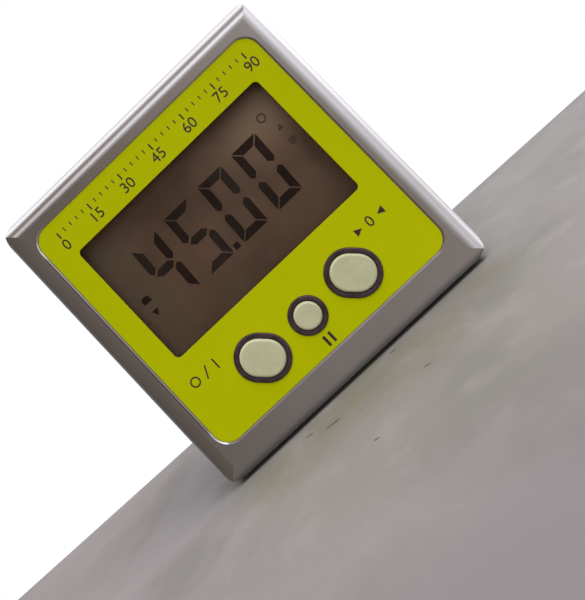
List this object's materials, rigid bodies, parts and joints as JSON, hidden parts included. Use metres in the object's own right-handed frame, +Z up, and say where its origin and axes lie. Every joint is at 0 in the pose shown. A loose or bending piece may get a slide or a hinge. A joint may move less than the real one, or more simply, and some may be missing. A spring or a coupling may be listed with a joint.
{
  "type": "inclinometer",
  "caption": "Digital box level: square magnetic-base inclinometer with a numeric display, press keys and a sliding battery door, for reading and zeroing tilt angles.",
  "frame": {"origin": "middle of the bottom measuring face", "axes": "+X to the right of the display as it is read, +Y from the front face to the back, +Z up"},
  "size_m": [0.06, 0.0314, 0.06],
  "materials": {
    "silver_cover": "satin silver-coloured moulded plastic",
    "frame_metal": "brushed aluminium",
    "label_face": "yellow-green printed overlay, soft gloss",
    "window_clear": "clear acrylic",
    "dark_plastic": "black moulded plastic",
    "gasket_foam": "black cellular foam",
    "display_front": "grey polarising film",
    "display_glass": "clear glass",
    "display_back": "grey-brown reflector film",
    "strip_rubber": "grey rubber with dark layers",
    "board": "green circuit board",
    "resin": "black epoxy resin",
    "sensor_ceramic": "dark ceramic package",
    "chip_ceramic": "tan ceramic",
    "bright_metal": "bright sheet metal",
    "cell_metal": "nickel-plated steel",
    "contact_metal": "plated spring metal",
    "wire_black": "black insulation",
    "wire_red": "red insulation",
    "magnet_metal": "nickel-plated magnet",
    "key_cap": "pale cream moulded plastic",
    "key_collar": "dark brown moulded plastic",
    "screw_steel": "plated steel"
  },
  "bodies": {
    "case": {"back_cover": "silver_cover", "base_magnet_left": "magnet_metal", "base_magnet_right": "magnet_metal", "battery_cell": "cell_metal", "board_screw_1": "screw_steel", "board_screw_2": "screw_steel", "board_screw_3": "screw_steel", "board_screw_4": "screw_steel", "body_frame": "frame_metal", "case_screw_1": "screw_steel", "case_screw_2": "screw_steel", "case_screw_3": "screw_steel", "case_screw_4": "screw_steel", "chip_part_1": "chip_ceramic", "chip_part_2": "chip_ceramic", "chip_part_3": "chip_ceramic", "clock_crystal": "bright_metal", "contact_strip": "strip_rubber", "controller_blob": "resin", "display_gasket": "gasket_foam", "display_window": "window_clear", "face_label": "label_face", "front_bezel": "silver_cover", "front_polariser": "display_front", "hold_click_disc": "bright_metal", "hold_collar": "key_collar", "hold_switch_base": "dark_plastic", "hold_switch_cover": "bright_metal", "lcd_front_glass": "display_glass", "lcd_holder": "dark_plastic", "lcd_rear_glass": "display_glass", "main_board": "board", "negative_contact": "contact_metal", "negative_wire": "wire_black", "on_off_click_disc": "bright_metal", "on_off_collar": "key_collar", "on_off_switch_base": "dark_plastic", "on_off_switch_cover": "bright_metal", "positive_contact": "contact_metal", "positive_wire": "wire_red", "rear_reflector": "display_back", "tilt_sensor": "sensor_ceramic", "zero_click_disc": "bright_metal", "zero_collar": "key_collar", "zero_switch_base": "dark_plastic", "zero_switch_cover": "bright_metal"},
    "door": {"battery_door": "silver_cover"},
    "on_off_button": {"on_off_key": "key_cap", "on_off_switch_plunger": "dark_plastic"},
    "hold_button": {"hold_key": "key_cap", "hold_switch_plunger": "dark_plastic"},
    "zero_button": {"zero_key": "key_cap", "zero_switch_plunger": "dark_plastic"}
  },
  "joints": [
    {"name": "battery_door_slide", "type": "slide", "parent": "case", "child": "door", "axis": [0, 0, 1], "range_m": [0, 0.03]},
    {"name": "on_off_press", "type": "slide", "parent": "case", "child": "on_off_button", "axis": [0, 1, 0], "range_m": [0, 0.00035], "stiffness_N_per_m": 1500, "springref_m": -0.0002},
    {"name": "hold_press", "type": "slide", "parent": "case", "child": "hold_button", "axis": [0, 1, 0], "range_m": [0, 0.00035], "stiffness_N_per_m": 1500, "springref_m": -0.0002},
    {"name": "zero_press", "type": "slide", "parent": "case", "child": "zero_button", "axis": [0, 1, 0], "range_m": [0, 0.00035], "stiffness_N_per_m": 1500, "springref_m": -0.0002}
  ]
}
